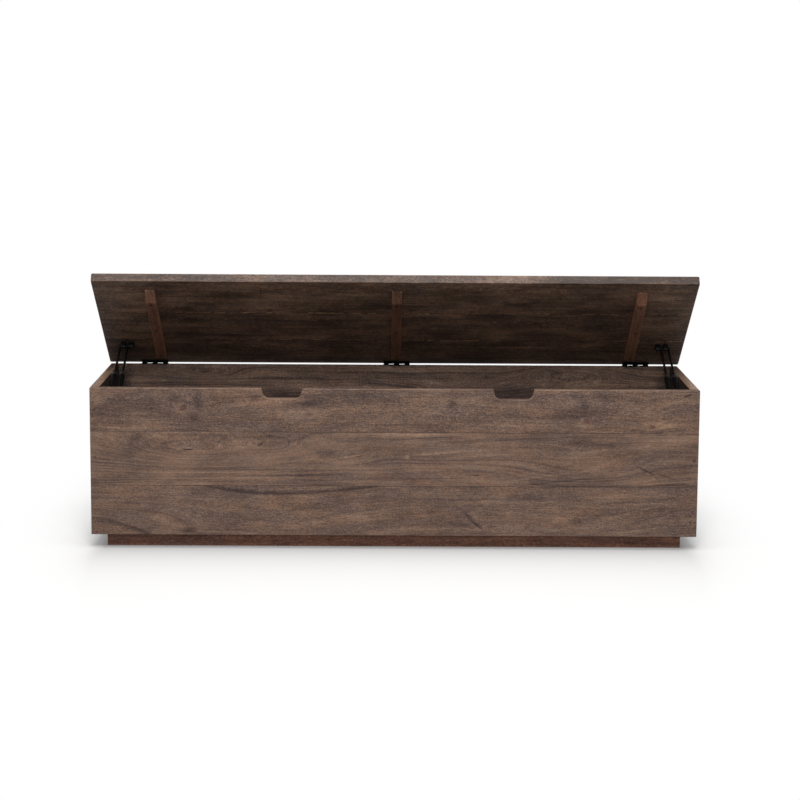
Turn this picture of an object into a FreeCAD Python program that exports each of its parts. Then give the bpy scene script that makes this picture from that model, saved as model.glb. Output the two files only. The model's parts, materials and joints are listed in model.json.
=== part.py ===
import FreeCAD, Part
import math
import os

# A storage bench: a long box of edge-glued boards on an inset plinth, with a hinged lid
# that two gas struts at each end hold open.
#
# Lengths are millimetres and angles are degrees. +X is to the right for someone facing the
# bench, +Y is towards its back and +Z is up. The origin is on the floor under the middle of
# the carcass. The lid's own pieces are modelled closed and then turned to the open angle.

# Carcass
box_width = 1517.0
box_depth = 454.0
panel_height = 371.0
board_thickness = 22.0
top_board_height = 109.0
middle_board_height = 136.0
corner_radius = 2.0
arris_radius = 1.5

# Finger notches in the front rim
notch_centres = (-281.0, 296.0)
notch_width = 102.0
notch_depth = 25.0
notch_side_lean = 6.0
notch_bottom_radius = 14.0
notch_top_radius = 2.5

# Plinth
plinth_height = 35.0
plinth_inset = 36.0
plinth_rail_thickness = 22.0
corner_block_leg = 40.0
corner_block_floor_gap = 4.0

# Floor of the box
cleat_height = 20.0
bottom_thickness = 12.0
bottom_clearance = 0.5

# Lid
lid_thickness = 22.0
lid_side_overhang = 3.5
lid_front_overhang = 3.0
lid_open_angle = 34.0
lid_rear_board_width = 139.0
lid_middle_board_width = 151.0
lid_corner_radius = 5.0
lid_arris_radius = 2.0

# Battens under the lid
batten_width = 25.0
batten_thickness = 19.0
batten_from_box_end = 138.0
batten_back_clearance = 40.0
batten_front_clearance = 19.0
batten_bevel_length = 38.0
batten_tip_thickness = 4.0
batten_arris_radius = 1.0
centre_batten_offset = 4.0
side_offset = 2.5

# Hinges
hinge_length = 70.0
hinge_from_box_end = 114.5
centre_hinge_offset = 6.0
leaf_thickness = 1.2
leaf_reach = 16.0
leaf_gap = 0.4
pin_radius = 1.3
pin_below_rim = 2.0
pin_head_radius = 2.1
pin_head_length = 1.0
barrel_clearance = 0.45
knuckle_count = 5
knuckle_gap = 0.3
mortise_spare = 2.5

# Gas struts
cylinder_radius = 7.5
cylinder_wall = 1.5
cylinder_end = 4.0
rod_radius = 3.0
rod_shown_open = 142.0
piston_length = 8.0
piston_stop_gap = 1.0
cap_wall = 0.6
cap_cover = 8.0
cap_end = 4.0
cap_chamfer = 0.5
strut_wall_gap = 6.0
strut_gap = 5.0
lower_eye_radius = 8.0
lower_eye_width = 12.0
upper_eye_radius = 5.0
upper_eye_width = 9.0
eye_round = 0.8

# Strut anchors on the end walls
anchor_from_front_wall = 45.0
anchor_below_rim = 65.0
anchor_plate_thickness = 3.0
anchor_plate_width = 34.0
anchor_plate_height = 52.0
stud_radius = 4.0
stud_spare = 1.7
stud_ring_wall = 2.5
stud_clip_thickness = 3.0

# Strut brackets on the lid
bracket_from_rear = 108.0
bracket_drop = 7.5
bracket_plate_width = 14.0
bracket_plate_length = 34.0
bracket_plate_thickness = 2.0
bracket_lug_thickness = 8.0
bracket_lug_radius = 6.0

# Clearances
running_clearance = 0.05
body_clearance = 0.3

# Fasteners: (length, shank radius, head radius)
corner_screw = (50.0, 2.2, 4.2)
cleat_screw = (50.0, 2.0, 4.0)
plinth_screw = (44.0, 2.2, 4.2)
batten_screw = (32.0, 2.0, 3.8)
hinge_screw = (16.0, 1.4, 2.7)
plate_screw = (15.0, 1.6, 3.0)
plug_radius = 4.5
plug_depth = 8.0
plinth_screw_recess = 6.0
screw_end_margin = 90.0
screw_pitch = 320.0
recess_width = 0.8
recess_depth = 0.9
recess_reach = 0.6

# Sizes that follow from the ones above
half_width = box_width / 2
half_depth = box_depth / 2
rim = plinth_height + panel_height
inner_x = half_width - board_thickness
inner_y = half_depth - board_thickness
bottom_level = plinth_height + cleat_height
barrel_radius = pin_radius + running_clearance + leaf_thickness
lid_gap = leaf_thickness + leaf_gap
lid_bottom = rim + lid_gap
pin_y = half_depth + barrel_radius + barrel_clearance
pin_z = rim - pin_below_rim
lid_front = -half_depth - lid_front_overhang
strut_pitch = 2 * cylinder_radius + strut_gap
cleat_width = plinth_inset + plinth_rail_thickness - board_thickness
rail_screw_span = box_width - 2 * plinth_inset - 2 * screw_end_margin
rail_screw_gaps = max(1, math.ceil(rail_screw_span / screw_pitch))
cleat_screw_gaps = rail_screw_gaps + 1  # so that the two rows of screws never cross

V = FreeCAD.Vector
UP, DOWN = V(0, 0, 1), V(0, 0, -1)
FRONT, BACK = V(0, -1, 0), V(0, 1, 0)
nodes = {}


# ---------------------------------------------------------------- shape helpers

def block(low, high):
    """A box between two opposite corners."""
    size = V(*high) - V(*low)
    return Part.makeBox(size.x, size.y, size.z, V(*low))


def rounded_outline(points):
    """Edges of a closed outline. Each point is (vector, corner radius)."""
    edges = []
    count = len(points)
    joints = []
    for i, (corner, radius) in enumerate(points):
        to_previous = (points[i - 1][0] - corner).normalize()
        to_next = (points[(i + 1) % count][0] - corner).normalize()
        if radius == 0:
            joints.append((corner, None, corner))
            continue
        half_turn = to_previous.getAngle(to_next) / 2
        reach = radius / math.tan(half_turn)
        middle = (to_previous + to_next).normalize()
        middle_distance = radius / math.sin(half_turn) - radius
        joints.append((corner + to_previous * reach, corner + middle * middle_distance,
                       corner + to_next * reach))
    for i, (start, middle, end) in enumerate(joints):
        if middle is not None:
            edges.append(Part.Arc(start, middle, end).toShape())
        next_start = joints[(i + 1) % count][0]
        edges.append(Part.LineSegment(end, next_start).toShape())
    return edges


def prism(points, direction):
    """The solid swept by a closed outline of (vector, corner radius) along a vector."""
    wire = Part.Wire(rounded_outline(points))
    return Part.Face(wire).extrude(direction)


def fillet_where(shape, radius, test):
    """Round the edges whose bounding boxes pass a test."""
    return shape.makeFillet(radius, [edge for edge in shape.Edges if test(edge.BoundBox)])


def is_upright(box):
    return box.ZLength > 1 and box.XLength < 0.01 and box.YLength < 0.01


def lies_at_z(level):
    return lambda box: abs(box.ZMin - level) < 0.01 and abs(box.ZMax - level) < 0.01


def lies_at_y(box, level):
    return abs(box.YMin - level) < 0.01 and abs(box.YMax - level) < 0.01


def drill(shape, cutters):
    """Cut the cutters that come near a shape out of it."""
    near = [cutter for cutter in cutters if shape.BoundBox.intersect(cutter.BoundBox)]
    return shape.cut(near) if near else shape


def aim(shape, point, direction):
    """Turn a shape modelled along +Z at the origin to a direction, and move it to a point."""
    shape.Placement = FreeCAD.Placement(point, FreeCAD.Rotation(UP, direction))
    return shape


def x_cylinder(radius, x_from, x_to, y, z):
    """A cylinder along X between two places."""
    return Part.makeCylinder(radius, abs(x_to - x_from), V(min(x_from, x_to), y, z), V(1, 0, 0))


def opened(shape):
    """Turn a piece of the closed lid to the open angle about the hinge pins."""
    turned = shape.copy()
    turned.rotate(V(0, pin_y, pin_z), V(-1, 0, 0), lid_open_angle)
    return turned


def spread(length, gaps):
    """Evenly spaced places along a length centred on 0, for a row of screws."""
    span = length - 2 * screw_end_margin
    return [-span / 2 + span * i / gaps for i in range(gaps + 1)]


# ---------------------------------------------------------------- fasteners

def screw_form(size, point, outward):
    """A countersunk screw's outer form, its head's face at a point and facing outward."""
    length, shank_radius, head_radius = size
    cone_height = head_radius - shank_radius
    head = Part.makeCone(head_radius, shank_radius, cone_height, V(0, 0, 0), DOWN)
    shank = Part.makeCylinder(shank_radius, length - cone_height - shank_radius,
                              V(0, 0, -cone_height), DOWN)
    tip = Part.makeCone(shank_radius, shank_radius / 4, shank_radius,
                        V(0, 0, shank_radius - length), DOWN)
    return aim(head.fuse([shank, tip]).removeSplitter(), point, outward)


def screw_group(size, places):
    """The forms that cut the screws' holes, and the screws with their cross recesses."""
    forms = [screw_form(size, point, outward) for point, outward in places]
    reach = size[2] * recess_reach
    screws = []
    for form, (point, outward) in zip(forms, places):
        bars = [block((-reach, -recess_width / 2, -recess_depth), (reach, recess_width / 2, 1)),
                block((-recess_width / 2, -reach, -recess_depth), (recess_width / 2, reach, 1))]
        screws.append(form.cut([aim(bar, point, outward) for bar in bars]))
    return forms, Part.makeCompound(screws)


# ---------------------------------------------------------------- carcass

def notch(centre):
    """The space of one finger notch, through the front wall."""
    top = rim + notch_top_radius * 3
    half_top = notch_width / 2
    half_bottom = half_top - notch_side_lean
    points = [(V(centre - half_top, 0, rim), 0),
              (V(centre - half_bottom, 0, rim - notch_depth), notch_bottom_radius),
              (V(centre + half_bottom, 0, rim - notch_depth), notch_bottom_radius),
              (V(centre + half_top, 0, rim), 0),
              (V(centre + half_top, 0, top), 0),
              (V(centre - half_top, 0, top), 0)]
    space = prism(points, V(0, board_thickness + 2, 0))
    space.translate(V(0, -half_depth - 1, 0))
    return space


def is_notch_lip(box):
    """The short edges where a notch's sides meet the rim."""
    on_rim = lies_at_z(rim)(box)
    beside_notch = any(abs(abs(box.Center.x - centre) - notch_width / 2) < 0.01
                       for centre in notch_centres)
    return on_rim and beside_notch and box.XLength < 0.01 and box.Center.y < 0


def is_rim_arris(box):
    """The long edges of the rim, and the notches' edges on both faces of the front wall."""
    if lies_at_z(rim)(box):
        return not is_notch_lip(box)
    in_notch_band = box.ZMin > rim - notch_depth - 0.01
    on_face = lies_at_y(box, -half_depth) or lies_at_y(box, -inner_y)
    upright_edge = is_upright(box)
    return in_notch_band and on_face and not upright_edge


def wall_ring():
    """The four walls in one piece, with the notches cut and every outer arris eased."""
    outer = block((-half_width, -half_depth, plinth_height), (half_width, half_depth, rim))
    outer = fillet_where(outer, corner_radius, is_upright)
    ring = outer.cut(block((-inner_x, -inner_y, 0), (inner_x, inner_y, rim + 1)))
    ring = ring.cut([notch(centre) for centre in notch_centres])
    ring = fillet_where(ring, notch_top_radius, is_notch_lip)
    ring = fillet_where(ring, arris_radius, is_rim_arris)
    outside = half_depth - 0.01

    def is_lower_outer(box):
        reaches_outside = max(abs(box.YMin), abs(box.YMax)) > outside
        on_end = min(abs(box.XMin), abs(box.XMax)) > inner_x + 1
        return lies_at_z(plinth_height)(box) and (reaches_outside or on_end)

    return fillet_where(ring, arris_radius, is_lower_outer)


def wall_slabs(height_from, height_to):
    """Boxes that part a ring of walls: front and back run through, ends fit between."""
    reach = half_width + 1
    return {"front": block((-reach, -half_depth - 1, height_from), (reach, -inner_y, height_to)),
            "back": block((-reach, inner_y, height_from), (reach, half_depth + 1, height_to)),
            "left_end": block((-reach, -inner_y, height_from), (-inner_x, inner_y, height_to)),
            "right_end": block((inner_x, -inner_y, height_from), (reach, inner_y, height_to))}


def board_levels():
    """The lower and upper level of each wall board."""
    top_seam = rim - top_board_height
    middle_seam = top_seam - middle_board_height
    return {"top": (top_seam, rim), "middle": (middle_seam, top_seam),
            "bottom": (plinth_height, middle_seam)}


def corner_joint_places():
    """Where the screws through the front and back boards enter the end boards."""
    places = []
    for low, high in board_levels().values():
        for x in (-half_width + board_thickness / 2, half_width - board_thickness / 2):
            places.append((V(x, -half_depth, (low + high) / 2), FRONT))
            places.append((V(x, half_depth, (low + high) / 2), BACK))
    return places


def corner_fasteners():
    """The corner screws and the wood plugs that cover them."""
    places = corner_joint_places()
    deep_places = [(point - outward * plug_depth, outward) for point, outward in places]
    forms, screws = screw_group(corner_screw, deep_places)
    plugs = [aim(Part.makeCylinder(plug_radius, plug_depth, V(0, 0, 0), DOWN), point, outward)
             for point, outward in places]
    nodes["corner_screws"] = screws
    nodes["wood_plugs"] = Part.makeCompound(plugs)
    return forms + plugs


def walls(cutters):
    """Each wall as its glued boards, drilled for everything that is fastened to it."""
    ring = wall_ring()
    ends = {"left_end": [], "right_end": []}
    for level_name, (low, high) in board_levels().items():
        top = high + 1 if level_name == "top" else high
        bottom = low - 1 if level_name == "bottom" else low
        for wall_name, slab in wall_slabs(bottom, top).items():
            board = drill(ring.common(slab), cutters)
            if wall_name in ends:
                ends[wall_name].append(board)
            else:
                nodes[wall_name + "_" + level_name + "_board"] = board
    for wall_name, boards in ends.items():
        nodes[wall_name + "_boards"] = Part.makeCompound(boards)


# ---------------------------------------------------------------- plinth and floor

def plinth():
    """The inset frame that the box stands on. Returns the screws' forms."""
    x_out, y_out = half_width - plinth_inset, half_depth - plinth_inset
    x_in, y_in = x_out - plinth_rail_thickness, y_out - plinth_rail_thickness
    outer = block((-x_out, -y_out, 0), (x_out, y_out, plinth_height))
    ring = fillet_where(outer, arris_radius, is_upright)
    ring = ring.cut(block((-x_in, -y_in, -1), (x_in, y_in, plinth_height + 1)))
    rail_y = y_out - plinth_rail_thickness / 2
    rail_x = x_out - plinth_rail_thickness / 2
    spots = [(x, side * rail_y) for side in (-1, 1) for x in spread(2 * x_out, rail_screw_gaps)]
    spots += [(-rail_x, 0), (rail_x, 0)]
    places = [(V(x, y, plinth_screw_recess), DOWN) for x, y in spots]
    forms, nodes["plinth_screws"] = screw_group(plinth_screw, places)
    recesses = [Part.makeCylinder(plinth_screw[2], plinth_screw_recess, V(x, y, 0))
                for x, y in spots]
    slabs = {"front": block((-x_out, -y_out, -1), (x_out, -y_in, plinth_height + 1)),
             "back": block((-x_out, y_in, -1), (x_out, y_out, plinth_height + 1)),
             "left": block((-x_out, -y_in, -1), (-x_in, y_in, plinth_height + 1)),
             "right": block((x_in, -y_in, -1), (x_out, y_in, plinth_height + 1))}
    for name, slab in slabs.items():
        nodes["plinth_" + name + "_rail"] = drill(ring.common(slab), forms + recesses)
    half_rail = plinth_rail_thickness / 2
    nodes["plinth_cross_rail"] = block((-half_rail, -y_in, 0), (half_rail, y_in, plinth_height))
    blocks = []
    for side_x in (-1, 1):
        for side_y in (-1, 1):
            corner = V(side_x * x_in, side_y * y_in, corner_block_floor_gap)
            outline = [(corner, 0), (corner - V(side_x * corner_block_leg, 0, 0), 0),
                       (corner - V(0, side_y * corner_block_leg, 0), 0)]
            blocks.append(prism(outline, V(0, 0, plinth_height - corner_block_floor_gap)))
    nodes["plinth_corner_blocks"] = Part.makeCompound(blocks)
    return forms


def box_floor(plinth_screw_forms):
    """Cleats round the foot of the walls and the bottom panel on them."""
    cleat_in_x, cleat_in_y = inner_x - cleat_width, inner_y - cleat_width
    head_level = plinth_height + cleat_height / 2
    places = [(V(x, side * cleat_in_y, head_level), V(0, -side, 0))
              for side in (-1, 1) for x in spread(2 * inner_x, cleat_screw_gaps)]
    places += [(V(side * cleat_in_x, y, head_level), V(-side, 0, 0))
               for side in (-1, 1) for y in (-cleat_in_y / 2, cleat_in_y / 2)]
    forms, nodes["cleat_screws"] = screw_group(cleat_screw, places)
    low, high = plinth_height, bottom_level
    cleats = {"front_cleat": block((-inner_x, -inner_y, low), (inner_x, -cleat_in_y, high)),
              "back_cleat": block((-inner_x, cleat_in_y, low), (inner_x, inner_y, high))}
    for name, cleat in cleats.items():
        nodes[name] = drill(cleat, forms + plinth_screw_forms)
    ends = [block((-inner_x, -cleat_in_y, low), (-cleat_in_x, cleat_in_y, high)),
            block((cleat_in_x, -cleat_in_y, low), (inner_x, cleat_in_y, high))]
    nodes["end_cleats"] = Part.makeCompound([drill(end, forms + plinth_screw_forms)
                                             for end in ends])
    nodes["centre_bearer"] = block((-cleat_width / 2, -cleat_in_y, low),
                                   (cleat_width / 2, cleat_in_y, high))
    x, y = inner_x - bottom_clearance, inner_y - bottom_clearance
    nodes["bottom_panel"] = block((-x, -y, high), (x, y, high + bottom_thickness))
    return forms


# ---------------------------------------------------------------- hinges

def hinge_places():
    """Each hinge's name and the X of its middle."""
    outer = half_width - hinge_from_box_end
    return {"left_hinge": side_offset - outer, "centre_hinge": centre_hinge_offset,
            "right_hinge": side_offset + outer}


def knuckles(x_middle, first, bore_radius, gap):
    """Every second knuckle of a hinge, from the first or the second place."""
    width = hinge_length / knuckle_count
    start = x_middle - hinge_length / 2
    barrels = []
    for i in range(first, knuckle_count, 2):
        barrels.append((start + i * width + gap, start + (i + 1) * width - gap))
    bore = x_cylinder(bore_radius, start - 1, start + hinge_length + 1, pin_y, pin_z)
    return barrels, bore


def box_leaf(x_middle):
    """The leaf let into the rim, flush with it. It holds the pin."""
    barrels, bore = knuckles(x_middle, 1, pin_radius, knuckle_gap)
    half = hinge_length / 2
    leaf = block((x_middle - half, half_depth - leaf_reach, rim - leaf_thickness),
                 (x_middle + half, half_depth, rim))
    for start, end in barrels:
        strap = block((start, half_depth - 1, rim - leaf_thickness), (end, pin_y, rim))
        leaf = leaf.fuse([strap, x_cylinder(barrel_radius, start, end, pin_y, pin_z)])
    return leaf.removeSplitter().cut(bore)


def lid_leaf(x_middle):
    """The leaf screwed on the lid's underside, modelled closed. It turns on the pin."""
    barrels, bore = knuckles(x_middle, 0, pin_radius + running_clearance, 0)
    half = hinge_length / 2
    leaf = block((x_middle - half, half_depth - leaf_reach, lid_bottom - leaf_thickness),
                 (x_middle + half, half_depth, lid_bottom))
    neck_front = pin_y - barrel_radius
    for start, end in barrels:
        strap = block((start, half_depth - 1, lid_bottom - leaf_thickness),
                      (end, pin_y, lid_bottom))
        neck = block((start, neck_front, pin_z), (end, pin_y, lid_bottom))
        barrel = x_cylinder(barrel_radius, start, end, pin_y, pin_z)
        leaf = leaf.fuse([strap, neck, barrel])
    return leaf.removeSplitter().cut(bore)


def hinge_pin(x_middle):
    """A hinge's pin, with a head at each end."""
    half = hinge_length / 2
    pin = x_cylinder(pin_radius, x_middle - half - body_clearance,
                     x_middle + half + body_clearance, pin_y, pin_z)
    for side in (-1, 1):
        inner = x_middle + side * (half + body_clearance)
        pin = pin.fuse(x_cylinder(pin_head_radius, inner, inner + side * pin_head_length,
                                  pin_y, pin_z))
    return pin


def hinges():
    """All hinge pieces. Returns what they cut out of the rim and out of the closed lid."""
    rim_places, lid_places, mortises, pins = [], [], [], []
    screw_y = half_depth - leaf_reach * 0.55
    for x in hinge_places().values():
        for offset in (-hinge_length / 3, 0, hinge_length / 3):
            rim_places.append((V(x + offset, screw_y, rim), UP))
            lid_places.append((V(x + offset, screw_y, lid_bottom - leaf_thickness), DOWN))
        half = hinge_length / 2
        mortises.append(block((x - half, half_depth - leaf_reach, rim - leaf_thickness),
                              (x + half + mortise_spare, half_depth + 1, rim + 1)))
        pins.append(hinge_pin(x))
    rim_forms, nodes["box_leaf_screws"] = screw_group(hinge_screw, rim_places)
    lid_forms, lid_screws = screw_group(hinge_screw, lid_places)
    nodes["lid_leaf_screws"] = opened(lid_screws)
    nodes["hinge_pins"] = Part.makeCompound(pins)
    for name, x in hinge_places().items():
        nodes[name + "_box_leaf"] = drill(box_leaf(x), rim_forms)
        nodes[name + "_lid_leaf"] = opened(drill(lid_leaf(x), lid_forms))
    return rim_forms + mortises, lid_forms


# ---------------------------------------------------------------- lid

def batten(x_middle):
    """One batten, modelled closed: full thickness at the rear, bevelled at its free end."""
    rear = inner_y - batten_back_clearance
    front = -inner_y + batten_front_clearance
    low = lid_bottom - batten_thickness
    x = x_middle - batten_width / 2
    outline = [(V(x, rear, lid_bottom), 0), (V(x, rear, low), 0),
               (V(x, front + batten_bevel_length, low), 0),
               (V(x, front, lid_bottom - batten_tip_thickness), 0),
               (V(x, front, lid_bottom), 0)]
    solid = prism(outline, V(batten_width, 0, 0))
    top = lies_at_z(lid_bottom)
    return fillet_where(solid, batten_arris_radius,
                        lambda box: not top(box) and box.ZMax < lid_bottom - 0.01)


def lid_seams():
    """The Y of the two seams between the closed lid's boards, the rear one first."""
    rear_seam = half_depth - lid_rear_board_width
    return rear_seam, rear_seam - lid_middle_board_width


def batten_screw_places(x_middle):
    """A screw up through a batten into each lid board."""
    rear = inner_y - batten_back_clearance
    bevel_start = -inner_y + batten_front_clearance + batten_bevel_length
    rear_seam, middle_seam = lid_seams()
    rear_margin = min(batten_width, rear - rear_seam) / 2
    front_margin = min(batten_width, middle_seam - bevel_start) / 2
    stops = (rear - rear_margin, (rear + bevel_start) / 2, bevel_start + front_margin)
    return [(V(x_middle, y, lid_bottom - batten_thickness), DOWN) for y in stops]


def lid(cutters):
    """The lid's three boards and its battens."""
    outer = half_width - batten_from_box_end
    battens = {"left_batten": side_offset - outer, "centre_batten": centre_batten_offset,
               "right_batten": side_offset + outer}
    places = [place for x in battens.values() for place in batten_screw_places(x)]
    forms, screws = screw_group(batten_screw, places)
    nodes["batten_screws"] = opened(screws)
    for name, x in battens.items():
        nodes[name] = opened(drill(batten(x), forms))
    side = half_width + lid_side_overhang
    top = lid_bottom + lid_thickness
    panel = block((-side, lid_front, lid_bottom), (side, half_depth, top))
    panel = fillet_where(panel, lid_corner_radius, is_upright)
    panel = fillet_where(panel, lid_arris_radius,
                         lambda box: lies_at_z(lid_bottom)(box) or lies_at_z(top)(box))
    rear_seam, middle_seam = lid_seams()
    spans = {"lid_rear_board": (rear_seam, half_depth + 1),
             "lid_middle_board": (middle_seam, rear_seam),
             "lid_front_board": (lid_front - 1, middle_seam)}
    for name, (front, back) in spans.items():
        slab = block((-side - 1, front, lid_bottom - 1), (side + 1, back, top + 1))
        nodes[name] = opened(drill(panel.common(slab), cutters + forms))


# ---------------------------------------------------------------- gas struts

def strut_places():
    """Each strut's name, the X of its axis and the direction from it towards the middle."""
    places = {}
    outer = inner_x - strut_wall_gap - cylinder_radius
    for side, inward in (("left", 1), ("right", -1)):
        places[side + "_outer"] = (-inward * outer, inward)
        places[side + "_inner"] = (-inward * (outer - strut_pitch), inward)
    return places


def anchor_point():
    """The struts' lower pivot, as (y, z)."""
    return -inner_y + anchor_from_front_wall, rim - anchor_below_rim


def bracket_point(angle):
    """The struts' upper pivot, as (y, z), with the lid open by an angle."""
    closed = V(0, half_depth - bracket_from_rear - pin_y, lid_bottom - bracket_drop - pin_z)
    turned = FreeCAD.Rotation(V(-1, 0, 0), angle).multVec(closed)
    return pin_y + turned.y, pin_z + turned.z


def strut_line(angle):
    """A strut's length and slope, in radians, with the lid open by an angle."""
    (low_y, low_z), (high_y, high_z) = anchor_point(), bracket_point(angle)
    return (math.hypot(high_y - low_y, high_z - low_z),
            math.atan2(high_z - low_z, high_y - low_y))


def laid_on_strut(shape, x):
    """Move a piece modelled along +Z from its lower pivot on to a strut's line."""
    slope = math.degrees(strut_line(lid_open_angle)[1])
    turn = FreeCAD.Rotation(V(1, 0, 0), slope - 90)
    y, z = anchor_point()
    shape.Placement = FreeCAD.Placement(V(x, y, z), turn)
    return shape


def eye(radius, width, height):
    """A rounded eye round a pivot along X, at a height on a strut."""
    solid = x_cylinder(radius, -width / 2, width / 2, 0, height)
    return solid.makeFillet(eye_round, [edge for edge in solid.Edges if edge.BoundBox.XLength < 1])


def strut_cylinder(tube_top):
    """The closed tube of a strut with its lower eye."""
    tube_start = lower_eye_radius - 1
    tube = Part.makeCylinder(cylinder_radius, tube_top - tube_start, V(0, 0, tube_start))
    tube = fillet_where(tube, eye_round, lies_at_z(tube_start))
    solid = tube.fuse(eye(lower_eye_radius, lower_eye_width, 0))
    bore_start = lower_eye_radius + cylinder_end
    bore = Part.makeCylinder(cylinder_radius - cylinder_wall, tube_top - bore_start + 1,
                             V(0, 0, bore_start))
    hole = x_cylinder(stud_radius + running_clearance, -lower_eye_width, lower_eye_width, 0, 0)
    return solid.cut([bore, hole])


def strut_cap(tube_top):
    """The cap over a tube's open end. The rod slides through it."""
    start = tube_top - cap_cover
    cap = Part.makeCylinder(cylinder_radius + cap_wall, cap_cover + cap_end, V(0, 0, start))
    cap = cap.makeChamfer(cap_chamfer, [edge for edge in cap.Edges
                                        if edge.BoundBox.ZMin > tube_top])
    tube = Part.makeCylinder(cylinder_radius, cap_cover, V(0, 0, start))
    rod = Part.makeCylinder(rod_radius + running_clearance, cap_end + 2, V(0, 0, tube_top - 1))
    return cap.cut([tube, rod])


def strut_rod(tube_top, length):
    """A strut's rod with its piston and its upper eye."""
    piston_top = tube_top - piston_stop_gap
    piston_radius = cylinder_radius - cylinder_wall - running_clearance
    piston = Part.makeCylinder(piston_radius, piston_length, V(0, 0, piston_top - piston_length))
    rod = Part.makeCylinder(rod_radius, length - piston_top, V(0, 0, piston_top))
    return rod.fuse([piston, eye(upper_eye_radius, upper_eye_width, length)])


def struts():
    """Every gas strut, laid where the open lid holds it."""
    length = strut_line(lid_open_angle)[0]
    tube_top = length - rod_shown_open - cap_end
    for name, (x, _) in strut_places().items():
        nodes[name + "_strut_cylinder"] = laid_on_strut(strut_cylinder(tube_top), x)
        nodes[name + "_strut_cap"] = laid_on_strut(strut_cap(tube_top), x)
        nodes[name + "_strut_rod"] = laid_on_strut(strut_rod(tube_top, length), x)


def strut_anchors():
    """The plates on the end walls and what holds the lower eyes on their studs."""
    y, z = anchor_point()
    places = strut_places()
    plates, screw_places, spacers, clips = {}, [], [], []
    half_eye = lower_eye_width / 2
    ring_radius = stud_radius + stud_ring_wall
    for side in ("left", "right"):
        outer_x, inward = places[side + "_outer"]
        inner_strut_x = places[side + "_inner"][0]
        wall_x = -inward * inner_x
        face_x = wall_x + inward * anchor_plate_thickness
        plate = block((min(wall_x, face_x), y - anchor_plate_width / 2,
                       z - anchor_plate_height / 2),
                      (max(wall_x, face_x), y + anchor_plate_width / 2,
                       z + anchor_plate_height / 2))
        plate = plate.makeFillet(eye_round * 5, [edge for edge in plate.Edges
                                                 if edge.BoundBox.XLength > 1])
        shoulder_x = outer_x - inward * (half_eye + body_clearance)
        clip_x = inner_strut_x + inward * (half_eye + body_clearance)
        stud_end = clip_x + inward * (stud_clip_thickness + stud_spare)
        plates[side] = plate.fuse([x_cylinder(ring_radius, face_x, shoulder_x, y, z),
                                   x_cylinder(stud_radius, face_x, stud_end, y, z)])
        spacer_from = outer_x + inward * (half_eye + body_clearance)
        spacer_to = inner_strut_x - inward * (half_eye + body_clearance)
        stud_space = x_cylinder(stud_radius, face_x, stud_end, y, z)
        spacers.append(x_cylinder(ring_radius, spacer_from, spacer_to, y, z).cut(stud_space))
        clip_end = clip_x + inward * stud_clip_thickness
        clips.append(x_cylinder(ring_radius, clip_x, clip_end, y, z).cut(stud_space))
        reach = anchor_plate_height / 2 - plate_screw[2] * 2
        screw_places += [(V(face_x, y, z + reach), V(inward, 0, 0)),
                         (V(face_x, y, z - reach), V(inward, 0, 0))]
    forms, nodes["anchor_screws"] = screw_group(plate_screw, screw_places)
    for side, plate in plates.items():
        nodes[side + "_strut_anchor"] = drill(plate.removeSplitter(), forms)
    nodes["strut_spacers"] = Part.makeCompound(spacers)
    nodes["strut_clips"] = Part.makeCompound(clips)
    return forms


def lid_bracket(strut_x, inward):
    """A plate on the lid's underside with a lug beside the strut's upper eye."""
    y = half_depth - bracket_from_rear
    pivot_z = lid_bottom - bracket_drop
    lug_face = strut_x + inward * (upper_eye_width / 2 + body_clearance)
    lug_back = lug_face + inward * bracket_lug_thickness
    middle = (lug_face + lug_back) / 2
    half_w, half_l = bracket_plate_width / 2, bracket_plate_length / 2
    low = lid_bottom - bracket_plate_thickness
    corners = [(-half_w, -half_l), (half_w, -half_l), (half_w, half_l), (-half_w, half_l)]
    end_radius = half_w - 0.5
    plate = prism([(V(middle + dx, y + dy, low), end_radius) for dx, dy in corners],
                  V(0, 0, bracket_plate_thickness))
    lug_low, lug_high = min(lug_face, lug_back), max(lug_face, lug_back)
    web = block((lug_low, y - bracket_lug_radius, pivot_z),
                (lug_high, y + bracket_lug_radius, lid_bottom - 0.5))
    boss = x_cylinder(bracket_lug_radius, lug_low, lug_high, y, pivot_z)
    screws = [(V(middle, y + side * (half_l - half_w), low), DOWN) for side in (-1, 1)]
    return plate.fuse([web, boss]).removeSplitter(), screws


def lid_brackets():
    """The struts' brackets. Returns the forms that their screws cut in the closed lid."""
    shapes, places = {"left": [], "right": []}, []
    for name, (x, inward) in strut_places().items():
        shape, screws = lid_bracket(x, inward)
        shapes[name.split("_")[0]].append(shape)
        places += screws
    forms, screws = screw_group(plate_screw, places)
    nodes["bracket_screws"] = opened(screws)
    for side, pair in shapes.items():
        drilled = [drill(shape, forms) for shape in pair]
        nodes[side + "_lid_brackets"] = opened(Part.makeCompound(drilled))
    return forms


# ---------------------------------------------------------------- build and write

def report_joints():
    """Print the joints' places and the struts' ratios to the lid's turn."""
    open_length, open_slope = strut_line(lid_open_angle)
    shut_length, shut_slope = strut_line(0)
    turn = math.radians(lid_open_angle)
    y, z = anchor_point()
    print("lid hinge at y, z:", round(pin_y, 4), round(pin_z, 4))
    print("strut anchor at y, z:", round(y, 4), round(z, 4))
    print("strut length open, shut:", round(open_length, 3), round(shut_length, 3))
    print("strut slope open, radians:", round(open_slope, 6))
    print("swing per radian of lid:", round((open_slope - shut_slope) / turn, 6))
    print("slide in mm per radian of lid:", round((open_length - shut_length) / turn, 6))


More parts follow.
